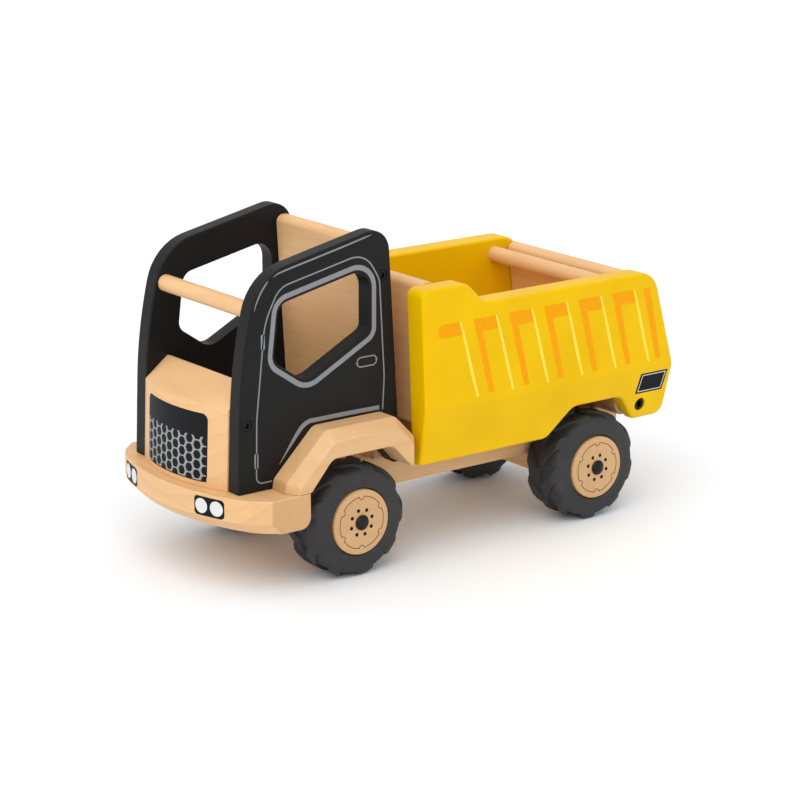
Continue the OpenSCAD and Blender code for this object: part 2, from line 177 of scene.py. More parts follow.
def add(tree, kind, inputs=None, **settings):
    """A shader node: inputs are numbers, colours or other nodes' output sockets."""
    made = tree.nodes.new("ShaderNode" + kind)
    for key, value in settings.items():
        setattr(made, key, value)
    for key, value in (inputs or {}).items():
        if isinstance(value, bpy.types.NodeSocket):
            tree.links.new(value, made.inputs[key])
        else:
            made.inputs[key].default_value = value
    return made


def ramp(tree, factor, stops):
    made = add(tree, "ValToRGB", {"Fac": factor})
    elements = made.color_ramp.elements
    while len(elements) < len(stops):
        elements.new(0.5)
    for element, (place, value) in zip(elements, stops):
        element.position = place
        element.color = (*value, 1) if isinstance(value, tuple) else (value, value, value, 1)
    return made.outputs["Color"]


def mix(tree, factor, a, b):
    return add(tree, "MixRGB", {"Fac": factor, "Color1": a, "Color2": b}).outputs["Color"]


def math_node(tree, operation, a, b=0.0):
    return add(tree, "Math", {0: a, 1: b}, operation=operation).outputs[0]


def times(tree, a, b):
    return math_node(tree, "MULTIPLY", a, b)


def fade(tree, pattern, low, high, amount=1.0):
    """Rises from 0 to amount while the pattern goes from low to high."""
    return times(tree, ramp(tree, pattern, [(low, 0.0), (high, 1.0)]), amount)


def rgba(colour, scale=1.0):
    return (*[c * scale for c in colour], 1)


GRAIN_TURN = {"X": (0, 0, 0), "Y": (0, 0, math.pi / 2), "Z": (0, math.pi / 2, 0)}
GRAIN_AXIS = {"X": (1, 0, 0), "Y": (0, 1, 0), "Z": (0, 0, 1)}


def grain_space(tree, grain, seed):
    """Millimetre coordinates with the grain along X, moved to a board of its own."""
    coordinates = add(tree, "TexCoord").outputs["Object"]
    turned = GRAIN_TURN[grain]
    tilt = (0.02 * math.sin(seed * 2.1), 0.025 * math.cos(seed * 1.7), 0.03 * math.sin(seed))
    return add(tree, "Mapping", {
        "Vector": coordinates,
        "Rotation": tuple(a + b for a, b in zip(turned, tilt)),
        "Scale": (1000, 1000, 1000),
        "Location": (37.0 * seed, 211 + 13.7 * seed, 97 - 9.1 * seed),
    }).outputs["Vector"]


def scaled(tree, vector, x, y, z):
    return add(tree, "VectorMath", {0: vector, 1: (x, y, z)}, operation="MULTIPLY").outputs[0]


def noise(tree, vector, scale, detail, roughness=0.5):
    made = add(tree, "TexNoise", {"Vector": vector, "Scale": scale, "Detail": detail, "Roughness": roughness})
    return made.outputs["Fac"]


def dress(tree, bsdf, colour, gloss, relief, specular=0.5, tint=(1, 1, 1)):
    """Joins colour, roughness and bump to the shader.

    gloss is (pattern, its low and high value, roughness at each); relief is (height, strength, distance).
    """
    bsdf.inputs["Specular IOR Level"].default_value = specular
    bsdf.inputs["Specular Tint"].default_value = (*tint, 1)
    tree.links.new(colour, bsdf.inputs["Base Color"])
    pattern, low, high, rough_low, rough_high = gloss
    rough = add(tree, "MapRange", {"Value": pattern, "From Min": low, "From Max": high,
                                   "To Min": rough_low, "To Max": rough_high})
    tree.links.new(rough.outputs["Result"], bsdf.inputs["Roughness"])
    height, strength, distance = relief
    bump = add(tree, "Bump", {"Strength": strength, "Distance": distance, "Height": height})
    tree.links.new(bump.outputs["Normal"], bsdf.inputs["Normal"])


LIGHT_WOOD = (0.800, 0.500, 0.245)
DEEP_WOOD = (0.590, 0.315, 0.125)
STREAK_WOOD = (0.690, 0.380, 0.160)
PATCH_WOOD = (0.820, 0.520, 0.270)
FLECK_WOOD = (0.430, 0.180, 0.060)
END_WOOD = (0.430, 0.235, 0.100)


def wavy(tree, place):
    """The board's coordinates bent a little, so that no fibre runs quite straight."""
    bend = add(tree, "TexNoise", {"Vector": scaled(tree, place, 0.25, 1, 1), "Scale": 0.045, "Detail": 2.0})
    inputs = {0: bend.outputs["Color"], 1: (9.0, 9.0, 9.0), 2: place}
    return add(tree, "VectorMath", inputs, operation="MULTIPLY_ADD").outputs[0]


def growth_rings(tree, bent):
    radius = add(tree, "VectorMath", {0: scaled(tree, bent, 0.03, 0.55, 1)}, operation="LENGTH")
    turns = math_node(tree, "FRACT", math_node(tree, "DIVIDE", radius.outputs["Value"], 4.6))
    return ramp(tree, turns, [(0.0, 0.15), (0.55, 0.35), (0.86, 1.0), (0.93, 0.9), (1.0, 0.15)])


def short_flecks(tree, bent):
    spots = add(tree, "TexVoronoi", {"Vector": scaled(tree, bent, 0.28, 1.5, 1.5), "Scale": 0.9})
    return ramp(tree, spots.outputs["Distance"], [(0.0, 1.0), (0.13, 0.85), (0.2, 0.0), (1.0, 0.0)])


def across_grain(tree, grain):
    """Nearly 1 where a face cuts across the fibres, 0 where it runs along them."""
    inputs = {0: add(tree, "TexCoord").outputs["Normal"], 1: GRAIN_AXIS[grain]}
    facing = add(tree, "VectorMath", inputs, operation="DOT_PRODUCT").outputs["Value"]
    return math_node(tree, "ABSOLUTE", facing)


def wood(name, grain, seed, tone=1.0):
    """Pale beech under satin lacquer: growth rings, long fibres, short brown flecks and darker end grain."""
    made, tree, bsdf, place = material(name, grain, seed)
    bent = wavy(tree, place)
    rings = growth_rings(tree, bent)
    flecks = short_flecks(tree, bent)
    fibre = noise(tree, scaled(tree, bent, 0.035, 1.5, 1.5), 1.0, 6.0, 0.62)
    streak = noise(tree, scaled(tree, bent, 0.012, 0.22, 0.22), 1.0, 3.0)
    patch = noise(tree, scaled(tree, place, 0.3, 1, 1), 0.035, 2.0)
    colour = rgba(LIGHT_WOOD, tone)
    for share, over, scale in (
        (fade(tree, fibre, 0.3, 0.72, 0.42), DEEP_WOOD, 1.0),
        (times(tree, rings, 0.27), DEEP_WOOD, 0.93),
        (fade(tree, streak, 0.35, 0.75, 0.30), STREAK_WOOD, 1.0),
        (fade(tree, patch, 0.35, 0.7, 0.35), PATCH_WOOD, 1.0),
        (times(tree, flecks, 0.42), FLECK_WOOD, 1.0),
        (fade(tree, across_grain(tree, grain), 0.70, 0.97, 0.45), END_WOOD, 1.0),
    ):
        colour = mix(tree, share, colour, rgba(over, tone * scale))
    height = math_node(tree, "SUBTRACT", fibre, times(tree, flecks, 0.5))
    dress(tree, bsdf, colour, (fibre, 0.25, 0.75, 0.40, 0.58), (height, 0.35, 0.00012), 0.30)
    bsdf.inputs["Coat Weight"].default_value = 0.10
    bsdf.inputs["Coat Roughness"].default_value = 0.32
    return made


def paint(name, colour, second, rough, grain, seed, relief, specular, tint=(1, 1, 1)):
    """Satin lacquer over wood: faint grain under the film, fine orange peel and uneven tone."""
    made, tree, bsdf, place = material(name, grain, seed)
    cloud = noise(tree, place, 0.03, 3.0, 0.55)
    peel = noise(tree, place, 0.75, 2.0)
    fibre = noise(tree, scaled(tree, place, 0.05, 1.3, 1.3), 1.0, 5.0, 0.6)
    speck = add(tree, "TexVoronoi", {"Vector": place, "Scale": 0.22}).outputs["Distance"]
    tone = mix(tree, fade(tree, cloud, 0.3, 0.7), rgba(colour), rgba(second))
    grained = mix(tree, fade(tree, fibre, 0.45, 0.8, 0.16), tone, rgba(second, 0.86))
    dust = times(tree, ramp(tree, speck, [(0.0, 1.0), (0.05, 0.0), (1.0, 0.0)]), 0.3)
    height = math_node(tree, "ADD", times(tree, fibre, 0.7), math_node(tree, "ADD", peel, dust))
    gloss = (peel, 0.3, 0.7, rough - 0.04, rough + 0.05)
    dress(tree, bsdf, grained, gloss, (height, 0.22 * relief, 0.00012), specular, tint)
    return made


def ink(name, colour, rough=0.42, worn=0.08, specular=0.25, tint=(1, 1, 1)):
    """Screen-printed ink: a thin film of slightly uneven density."""
    made, tree, bsdf, place = material(name, "X", 3.3)
    cloud = noise(tree, place, 0.35, 4.0, 0.6)
    grain = noise(tree, place, 2.4, 2.0)
    tone = mix(tree, fade(tree, cloud, 0.35, 0.7), rgba(colour), rgba(colour, 1 - worn))
    gloss = (grain, 0.0, 1.0, rough - 0.05, rough + 0.07)
    dress(tree, bsdf, tone, gloss, (grain, 0.1, 0.00005), specular, tint)
    return made


def rubber(name, seed):
    made, tree, bsdf, place = material(name, "X", seed)
    cloud = noise(tree, place, 0.07, 4.0, 0.6)
    fine = noise(tree, place, 1.8, 3.0, 0.6)
    bloom = fade(tree, cloud, 0.4, 0.75, 0.5)
    tone = mix(tree, bloom, (0.0265, 0.0265, 0.0285, 1), (0.048, 0.045, 0.043, 1))
    dotted = mix(tree, times(tree, fine, 0.25), tone, (0.016, 0.016, 0.018, 1))
    dress(tree, bsdf, dotted, (fine, 0.3, 0.7, 0.50, 0.66), (fine, 0.35, 0.00015), 0.35)
    return made


def metal(name, colour, rough):
    made, tree, bsdf, place = material(name, "Y", 1.9)
    lines = noise(tree, scaled(tree, place, 3.0, 0.3, 0.3), 1.4, 4.0, 0.6)
    cloud = noise(tree, place, 0.2, 2.0)
    tone = mix(tree, fade(tree, cloud, 0.35, 0.7), rgba(colour), rgba(colour, 0.82))
    dress(tree, bsdf, tone, (lines, 0.3, 0.7, rough - 0.06, rough + 0.08), (lines, 0.15, 0.00004))
    bsdf.inputs["Metallic"].default_value = 1.0
    return made


WARM = (1.0, 0.80, 0.10)
YELLOW = paint("yellow_paint", (0.820, 0.500, 0.0006), (0.770, 0.455, 0.0006),
               0.42, "X", 5.2, 0.8, 0.28, WARM)
BLACK = paint("black_paint", (0.0088, 0.0088, 0.0086), (0.0070, 0.0070, 0.0070),
              0.46, "Z", 2.4, 1.2, 0.17)
RUBBER = rubber("tyre_rubber_look", 4.1)
STEEL = metal("steel_look", (0.60, 0.60, 0.59), 0.30)
BRASS = metal("brass_look", (0.80, 0.58, 0.26), 0.28)
OXIDE = metal("black_oxide_look", (0.030, 0.030, 0.032), 0.45)
# Silver print; on the cab it also draws the painted highlights along the rounded roof and pillar edges
SILVER_INK_AND_EDGE_HIGHLIGHT = ink("silver_ink", (0.235, 0.240, 0.255))
GRILLE_INK = ink("grille_silver_ink", (0.300, 0.315, 0.310), 0.5, 0.1, 0.10)
BLACK_INK = ink("black_ink", (0.0070, 0.0080, 0.0095), 0.5, 0.08, 0.10)
WHITE_INK = ink("white_ink", (0.700, 0.715, 0.705), 0.35, 0.08)
ORANGE_INK = ink("orange_ink", (0.860, 0.340, 0.0006), 0.42, 0.06, 0.25, WARM)
PALE_INK = ink("pale_yellow_ink", (0.900, 0.700, 0.080), 0.42, 0.05, 0.25, WARM)
BROWN_INK = ink("burnt_line_ink", (0.200, 0.085, 0.030), 0.55, 0.25)


# ---- Meshes ----

def closed_mesh(name, verts, faces, merge=None, drop_slivers=False):
    """A mesh with all faces turned outwards; points nearer to each other than merge become one."""
    mesh = bpy.data.meshes.new(name)
    mesh.from_pydata([tuple(v) for v in verts], [], faces)
    bm = bmesh.new()
    bm.from_mesh(mesh)
    if merge:
        bmesh.ops.remove_doubles(bm, verts=bm.verts, dist=merge)
    if drop_slivers:
        bmesh.ops.dissolve_degenerate(bm, edges=bm.edges, dist=1e-8)
    bmesh.ops.recalc_face_normals(bm, faces=bm.faces)
    bm.to_mesh(mesh)
    bm.free()
    return mesh


def shade_smooth(mesh):
    mesh.polygons.foreach_set("use_smooth", [True] * len(mesh.polygons))


def finish_mesh(name, mesh, look, sharp=None):
    """An object of the mesh, with edges over sharp degrees marked unless it has normals of its own."""
    if sharp is not None:
        shade_smooth(mesh)
        mesh.set_sharp_from_angle(angle=math.radians(sharp))
    mesh.materials.clear()
    mesh.materials.append(look)
    return new_object(name, mesh)


def mesh_object(name, verts, faces, look, sharp=35.0):
    return finish_mesh(name, closed_mesh(name, verts, faces), look, sharp)


def lattice(rows, size, close_rows, close_size):
    """Faces between neighbouring rows of points, with size points in each row."""
    faces = []
    for a in range(rows if close_rows else rows - 1):
        b = (a + 1) % rows
        for i in range(size if close_size else size - 1):
            j = (i + 1) % size
            faces.append((a * size + i, a * size + j, b * size + j, b * size + i))
    return faces


def hold_normals(mesh, is_flat):
    """Smooth shading that leaves flat faces flat: rounded edges take up the faces they run into."""
    least = math.cos(math.radians(42.0))
    round_vertex = [[] for _ in mesh.vertices]
    faces = []
    for face in mesh.polygons:
        faces.append((face.normal.copy(), face.area, is_flat(face, mesh)))
        for v in face.vertices:
            round_vertex[v].append(face.index)
    chosen = []
    for face in mesh.polygons:
        own = faces[face.index][0]
        for v in face.vertices:
            near = [faces[i] for i in round_vertex[v] if faces[i][0].dot(own) > least]
            flat = [f for f in near if f[2]]
            total = sum((normal * area for normal, area, _ in flat or near), Vector((0, 0, 0)))
            chosen.append(total.normalized() if total.length > 0 else own)
    shade_smooth(mesh)
    mesh.normals_split_custom_set(chosen)


def is_wide(face, mesh):
    points = [mesh.vertices[v].co for v in face.vertices]
    around = sum((a - b).length for a, b in zip(points, points[1:] + points[:1]))
    return face.area > 0.8 * MM * around


def stand_in(piece, slot, node):
    """The piece takes the place of a CAD node, on the body that the node belongs to."""
    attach(piece, BODY_OF[node])
    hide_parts(node)


def loops_of(edges):
    """Groups of edges that share vertices."""
    left, groups = set(edges), []
    while left:
        group, todo = set(), [left.pop()]
        while todo:
            edge = todo.pop()
            group.add(edge)
            for v in edge.verts:
                for other in v.link_edges:
                    if other in left:
                        left.remove(other)
                        todo.append(other)
        groups.append(group)
    return groups


SMALL_BEVEL = 0.3


def mark_outer_edges(bm, small_share):
    """Bevel weights on the outward edges, smaller round small things such as screw bores."""
    weights = bm.edges.layers.float.new("bevel_weight_edge")
    outer = [e for e in bm.edges if len(e.link_faces) == 2 and e.calc_face_angle_signed() > math.radians(28)]
    for group in loops_of(outer):
        spots = [v.co for e in group for v in e.verts]
        span = max(max(p[k] for p in spots) - min(p[k] for p in spots) for k in range(3))
        for edge in group:
            edge[weights] = 1.0 if span > 11.5 * MM else small_share


def bevelled(name, mesh, width):
    """A new mesh with the weighted edges rounded over; the one given is removed."""
    shade_smooth(mesh)
    holder = new_object(name + "_holder", mesh)
    bevel = holder.modifiers.new("bevel", "BEVEL")
    bevel.limit_method = "WEIGHT"
    bevel.width = width * MM
    bevel.segments = 3
    bevel.use_clamp_overlap = False
    made = bpy.data.meshes.new_from_object(holder.evaluated_get(bpy.context.evaluated_depsgraph_get()))
    bpy.data.objects.remove(holder)
    bpy.data.meshes.remove(mesh)
    made.name = name
    return made


def soften(node, look, slot, width, halves=False):
    """The CAD node with its outer edges rounded over, as sanded wood has them; it replaces the node."""
    bm = bmesh.new()
    bm.from_mesh(NODES[node].data)
    bmesh.ops.remove_doubles(bm, verts=bm.verts, dist=1.2e-4)
    bmesh.ops.dissolve_limit(bm, angle_limit=math.radians(0.5), verts=bm.verts, edges=bm.edges)
    mark_outer_edges(bm, SMALL_BEVEL / width)
    name = node + "_form"
    mesh = bpy.data.meshes.new(name)
    bm.to_mesh(mesh)
    bm.free()
    made = bevelled(name, mesh, width)
    if halves:
        mirror_left_half(made)
    hold_normals(made, is_wide)
    stand_in(finish_mesh(name, made, look), slot, node)


def mirror_left_half(mesh):
    bm = bmesh.new()
    bm.from_mesh(mesh)
    everything = [*bm.verts, *bm.edges, *bm.faces]
    bmesh.ops.bisect_plane(bm, geom=everything, plane_co=(0, 0, 0), plane_no=(0, 1, 0), clear_inner=True)
    bmesh.ops.mirror(bm, geom=[*bm.verts, *bm.edges, *bm.faces], merge_dist=1e-6, axis="Y")
    bmesh.ops.remove_doubles(bm, verts=bm.verts, dist=2e-5)
    bmesh.ops.recalc_face_normals(bm, faces=bm.faces)
    bm.to_mesh(mesh)
    bm.free()


def is_inside(point, outline):
    inside, count = False, len(outline)
    for i in range(count):
        p, q = outline[i], outline[(i + 1) % count]
        if (p.y > point.y) != (q.y > point.y) and point.x < (q.x - p.x) * (point.y - p.y) / (q.y - p.y) + p.x:
            inside = not inside
    return inside


def with_levels(outline, levels):
    """The outline with a point added wherever it crosses one of the heights."""
    points, count = [], len(outline)
    for i, p in enumerate(outline):
        q = outline[(i + 1) % count]
        points.append(p)
        crossed = sorted((abs((z - p.y) / (q.y - p.y)), z) for z in levels if (p.y - z) * (q.y - z) < 0)
        points += [p.lerp(q, t) for t, _ in crossed]
    return points


class Board:
    """The mesh of one board standing in the XZ plane.

    outer_y(z) is its outer face. A ring is a list of vertex numbers and the (x, z) points they stand at.
    fronts and backs gather the rings that bound the outer and the inner face, the outline's first.
    """

    def __init__(self, side, outer_y, inner_y):
        self.side, self.outer_y, self.inner_y = side, outer_y, inner_y
        self.verts, self.faces = [], []
        self.fronts, self.backs = [], []

    def ring(self, points, y_of):
        start = len(self.verts)
        self.verts.extend(at(p.x, self.side * y_of(p.y), p.y) for p in points)
        return list(range(start, len(self.verts))), points

    def join_rings(self, rings):
        for (a, _), (b, _) in zip(rings, rings[1:]):
            for i in range(len(a)):
                j = (i + 1) % len(a)
                self.faces.append((a[i], a[j], b[j], b[i]))

    def rim(self, loop, radius, steps, is_outline):
        """The narrow face along an outline or a window, rounded over at the front and at the back."""
        sideways = normals_of(loop, True)
        into = 1 if is_inside(loop[0] + sideways[0] * 0.05, loop) == is_outline else -1
        turns = [math.pi / 2 * k / steps for k in range(steps + 1)]
        arc = [(radius * (1 - math.sin(t)), radius * (1 - math.cos(t))) for t in turns]

        def moved(inset):
            return [p + n * into * inset for p, n in zip(loop, sideways)]

        rings = [self.ring(moved(a), lambda z, d=d: self.outer_y(z) - d) for a, d in arc]
        rings += [self.ring(moved(a), lambda z, d=d: self.inner_y + d) for a, d in reversed(arc)]
        self.join_rings(rings)
        self.fronts.append(rings[0])
        self.backs.append(rings[-1])

    def bore(self, x, z, profile):
        """profile is (radius, y) from a face inwards: y is None on the outer face, radius 0 at a blind end."""
        rings = []
        turns = [math.pi * k / 16 for k in range(32)]
        for radius, y in profile:
            if radius == 0:
                (tip,), _ = self.ring([Vector((x, z))], lambda _, y=y: y)
                last = rings[-1][0]
                self.faces.extend((last[k], last[(k + 1) % len(last)], tip) for k in range(len(last)))
                continue
            spots = [Vector((x + radius * math.cos(t), z + radius * math.sin(t))) for t in turns]
            rings.append(self.ring(spots, self.outer_y if y is None else lambda _, y=y: y))
        self.join_rings(rings)
        (self.fronts if profile[0][1] is None else self.backs).append(rings[0])
        if profile[-1][0] > 0:
            self.backs.append(rings[-1])

    def fill(self, rings, y_of, levels=()):
        """Triangles over a face, inside its first ring and outside the others; it folds along the levels."""
        flat = [p for _, points in rings for p in points]
        index = [i for ids, _ in rings for i in ids]
        edges, start = [], 0
        for ids, _ in rings:
            edges += [(start + k, start + (k + 1) % len(ids)) for k in range(len(ids))]
            start += len(ids)
        outline = rings[0][1]
        for level in levels:
            near = [k for k, p in enumerate(outline) if abs(p.y - level) < 0.45]
            edges.append((min(near, key=lambda k: flat[k].x), max(near, key=lambda k: flat[k].x)))
        points, _, triangles, origin, _, _ = delaunay_2d_cdt(flat, edges, [], 0, 1e-7)
        where = [index[source[0]] if source else self.ring([p], y_of)[0][0]
                 for p, source in zip(points, origin)]
        for a, b, c in triangles:
            centre = (points[a] + points[b] + points[c]) / 3
            if is_inside(centre, outline) and not any(is_inside(centre, hole) for _, hole in rings[1:]):
                self.faces.append((where[a], where[b], where[c]))


def panel(node, outline, outer_y, inner_y, look, slot, bevel, windows=(), bores=(), levels=()):
    """A board with its edges rounded over, for the left and for the right CAD node."""
    for name, side in SIDES.items():
        board = Board(side, outer_y, inner_y)
        board.rim(with_levels(outline, levels), bevel, 4, True)
        for window in windows:
            board.rim(window, 0.45, 2, False)
        for bore in bores:
            board.bore(*bore)
        board.fill(board.fronts, outer_y, levels)
        board.fill(board.backs, lambda z: inner_y)
        full = node + "_" + name
        mesh = closed_mesh(full + "_board", board.verts, board.faces, 1e-7)
        hold_normals(mesh, lambda face, _: len(face.vertices) == 3 and abs(face.normal.y) > 0.9)
        stand_in(finish_mesh(full + "_board", mesh, look), slot, full)


def spin(name, profile, centre, side, look, segments=96, shape=None):
    """A turned piece along Y, mirrored for the right side.

    profile is (radius, y) in millimetres; shape(i, angle, radius) may change the radius of its point i.
    """
    verts = []
    for s in range(segments):
        angle = 2 * math.pi * s / segments
        for i, (radius, y) in enumerate(profile):
            reach = (shape(i, angle, radius) if shape else radius) * MM
            x = centre[0] + reach * math.cos(angle)
            z = centre[1] + reach * math.sin(angle)
            verts.append(Vector((x, side * y * MM, z)))
    faces = lattice(segments, len(profile), True, False)
    return finish_mesh(name, closed_mesh(name, verts, faces, 1e-7, True), look, 35)


# ---- Outlines and printed shapes ----

def rounded(vertices, steps=8, closed=True):
    """Points of a path whose vertices are (a, b, corner radius)."""
    points, count = [], len(vertices)
    for i, (a, b, r) in enumerate(vertices):
        p = Vector((a, b))
        if r == 0 or (not closed and i in (0, count - 1)):
            points.append(p)
            continue
        u = (Vector(vertices[i - 1][:2]) - p).normalized()
        v = (Vector(vertices[(i + 1) % count][:2]) - p).normalized()
        half = math.acos(max(-1, min(1, u.dot(v)))) / 2
        centre = p + (u + v).normalized() * r / math.sin(half)
        start = p + u * r / math.tan(half) - centre
        end = p + v * r / math.tan(half) - centre
        first = math.atan2(start.y, start.x)
        turn = (math.atan2(end.y, end.x) - first + 3 * math.pi) % (2 * math.pi) - math.pi
        for k in range(steps + 1):
            t = first + turn * k / steps
            points.append(centre + r * Vector((math.cos(t), math.sin(t))))
    return points


def normals_of(points, closed):
    """For each point of a path, the sideways step that keeps an offset path parallel."""
    found, count = [], len(points)
    for i, p in enumerate(points):
        before = points[i - 1] if closed or i else None
        after = points[(i + 1) % count] if closed or i < count - 1 else None
        a = (p - before).normalized() if before is not None else None
        b = (after - p).normalized() if after is not None else None
        a, b = a or b, b or a
        m = (a + b).normalized()
        n = Vector((-m.y, m.x))
        found.append(n / max(0.35, n.dot(Vector((-a.y, a.x)))))
    return found


def ribbon_faces(points, widths, closed):
    """2-D ribbon along a path: vertices and quads."""
    verts = []
    for p, n, w in zip(points, normals_of(points, closed), widths):
        verts += [p + n * w / 2, p - n * w / 2]
    return verts, lattice(len(points), 2, closed, False)


def smooth_path(points):
    """A Catmull-Rom curve through the points: each is (a, b, width)."""
    found, steps = [], 5
    for i in range(len(points) - 1):
        p0, p1, p2, p3 = (Vector(points[max(0, min(len(points) - 1, i + k))]) for k in (-1, 0, 1, 2))
        for k in range(steps):
            t = k / steps
            found.append(0.5 * (2 * p1 + (p2 - p0) * t + (2 * p0 - 5 * p1 + 4 * p2 - p3) * t * t
                                + (3 * p1 - p0 - 3 * p2 + p3) * t ** 3))
    found.append(Vector(points[-1]))
    return [Vector((p.x, p.y)) for p in found], [p.z for p in found]


class Print:
    """Printed shapes gathered into one thin closed film on a surface.

    lay(a, b, lift) gives the point of the surface at the shape's two coordinates, lifted off it in
    millimetres. The film reaches a little way into the surface, so that no light gets under it.
    """

    def __init__(self, lay, lift=0.07):
        self.lay, self.lift, self.sink = lay, lift, 0.08
        self.verts, self.faces = [], []

    def shape(self, points, faces):
        base, count = len(self.verts), len(points)
        self.verts += [self.lay(p[0], p[1], self.lift) for p in points]
        self.verts += [self.lay(p[0], p[1], -self.sink) for p in points]
        uses = {}
        for f in faces:
            self.faces.append(tuple(base + i for i in f))
            self.faces.append(tuple(base + count + i for i in reversed(f)))
            for i, j in zip(f, f[1:] + f[:1]):
                uses.setdefault(frozenset((i, j)), []).append((i, j))
        for pair in uses.values():
            if len(pair) == 1:
                i, j = pair[0]
                self.faces.append((base + i, base + count + i, base + count + j, base + j))

    def ribbon(self, points, widths, closed=False):
        if not hasattr(widths, "__len__"):
            widths = [widths] * len(points)
        self.shape(*ribbon_faces(points, widths, closed))

    def filled(self, points):
        """A convex outline as a fan round its middle."""
        centre = sum(points, Vector((0, 0))) / len(points)
        count = len(points)
        self.shape(list(points) + [centre], [(i, (i + 1) % count, count) for i in range(count)])

    def columns(self, places, low, high):
        """Fills between low(a) and high(a) in upright strips, so the film follows a curved surface."""
        points, faces = [], []
        for a in places:
            points += [(a, low(a)), (a, high(a))]
        for i in range(len(places) - 1):
            faces.append((2 * i, 2 * i + 2, 2 * i + 3, 2 * i + 1))
        self.shape(points, faces)

    def build(self, name, look, body):
        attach(mesh_object(name, self.verts, self.faces, look, 60), body)


# ---- Wooden and painted bodies ----

# The grille block: radius of its front arc, how far forward it reaches at its foot, how much it leans back
GRILLE_R, GRILLE_REACH, GRILLE_LEAN = 100.0, 86.2, 0.038
GRILLE_CREASE_Z, GRILLE_TOP_X, GRILLE_TOP_Z = 108.4, 59.5, 120.0
DECK_Z = 60.4


def grille_x(y, z):
    """The grille block's front: a leaning arc, then above the crease a bevel up to a straight top edge."""
    share = max(0.0, (z - GRILLE_CREASE_Z) / (GRILLE_TOP_Z - GRILLE_CREASE_Z))
    if share >= 1:
        return GRILLE_TOP_X
    across = max(0.0, (abs(y) - share * CAB_IN_Y) / (1 - share))
    foot = GRILLE_REACH - GRILLE_LEAN * (min(z, GRILLE_CREASE_Z) - DECK_Z)
    arc = foot - GRILLE_R + math.sqrt(GRILLE_R ** 2 - across ** 2)
    return (1 - share) * arc + share * GRILLE_TOP_X


def grille_section(y, inset):
    """The grille block's outline at one place across it, as (x, z) points."""
    back = (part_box("grille_block")[0].x - FRONT_X) / MM
    rise = GRILLE_TOP_Z - GRILLE_CREASE_Z
    heights = [(DECK_Z, 0.4), (GRILLE_CREASE_Z, 1.6)]
    heights += [(GRILLE_CREASE_Z + rise * s, 0) for s in (0.3, 0.5, 0.7, 0.85)]
    heights += [(GRILLE_TOP_Z, 0.5)]
    front = [(grille_x(y, z), z, radius) for z, radius in heights]
    loop = rounded([(back, DECK_Z, 0.4), *front, (back, GRILLE_TOP_Z, 0.5)], 5)
    return [p + n * inset for p, n in zip(loop, normals_of(loop, True))]


def build_grille_block(look):
    rim, half, count = 0.4, CAB_IN_Y, 36
    stations = [(-half, rim), (-half + 0.3 * rim, 0.3 * rim)]
    stations += [((half - rim) * (2 * k / count - 1), 0.0) for k in range(count + 1)]
    stations += [(half - 0.3 * rim, 0.3 * rim), (half, rim)]
    sections = [[at(p.x, y, p.y) for p in grille_section(y, inset)] for y, inset in stations]
    size, last = len(sections[0]), len(sections) - 1
    faces = lattice(len(sections), size, False, True)
    faces += [tuple(range(size)), tuple(range(last * size, (last + 1) * size))]
    piece = mesh_object("grille_block_form", [v for section in sections for v in section], faces, look)
    stand_in(piece, "body_wood", "grille_block")


def box_outer(z):
    """Outer face of a yellow side: it leans in below the crease, which is slightly rounded."""
    below, soft = CREASE_Z - z, CREASE_SOFT
    if below < -soft:
        return BOX_Y
    return BOX_Y - 0.22 * (below if below > soft else (below + soft) ** 2 / (4 * soft))


# Boards that keep the CAD's shape with softened edges: direction of the grain, its seed, width of the bevel
FRAME_BOARDS = {
    "chassis_plank": ("X", 1.0, 1.0), "front_axle_block": ("Y", 2.0, 0.8), "rear_axle_block": ("Y", 3.0, 0.8),
    "bumper": ("Y", 4.0, 0.8), "tipper_rest_block": ("X", 5.0, 0.8), "pivot_beam": ("Y", 6.0, 0.8),
}
BODY_BOARDS = {
    "cab_back_panel": ("Y", 8.0, 1.0), "mudguard_left": ("X", 9.0, 0.6), "mudguard_right": ("X", 10.0, 0.6),
    "bulkhead": ("Y", 11.0, 1.2), "tailgate": ("Y", 12.0, 1.0), "box_floor": ("X", 13.0, 0.5),
}


def build_soft_boards():
    for boards, slot in ((FRAME_BOARDS, "frame_wood"), (BODY_BOARDS, "body_wood")):
        for node, (along, seed, width) in boards.items():
            tone = 0.93 if "mudguard" in node else 1.0
            soften(node, wood(node + "_look", along, seed, tone), slot, width, halves=node == "bumper")


def blind_bore(x, z, radius, face_y, deep):
    """A bore from the inner face outwards."""
    return (x, z, [(radius, face_y), (radius, face_y + deep), (0.0, face_y + deep)])


def build_cab_sides():
    pegs = [(x, z, [(3.0, None), (3.0, CAB_Y - 8), (0.0, CAB_Y - 8)]) for x, z in ((-12, 86), (33, 74))]
    recess = [(3.6, None), (3.4, CAB_Y - 0.2), (3.4, CAB_Y - 2.8), (2.2, CAB_Y - 2.8), (2.2, CAB_IN_Y)]
    screws = [(x, z, recess) for x, z in CAB_SCREWS]
    socket = blind_bore(59.3, 163.6, 5.0, CAB_IN_Y, 5)
    panel("cab_side", rounded(CAB_OUTLINE), lambda z: CAB_Y, CAB_IN_Y, BLACK, "cab_paint", CAB_EDGE,
          [rounded(WINDOW_OUTLINE)], [*pegs, *screws, socket])


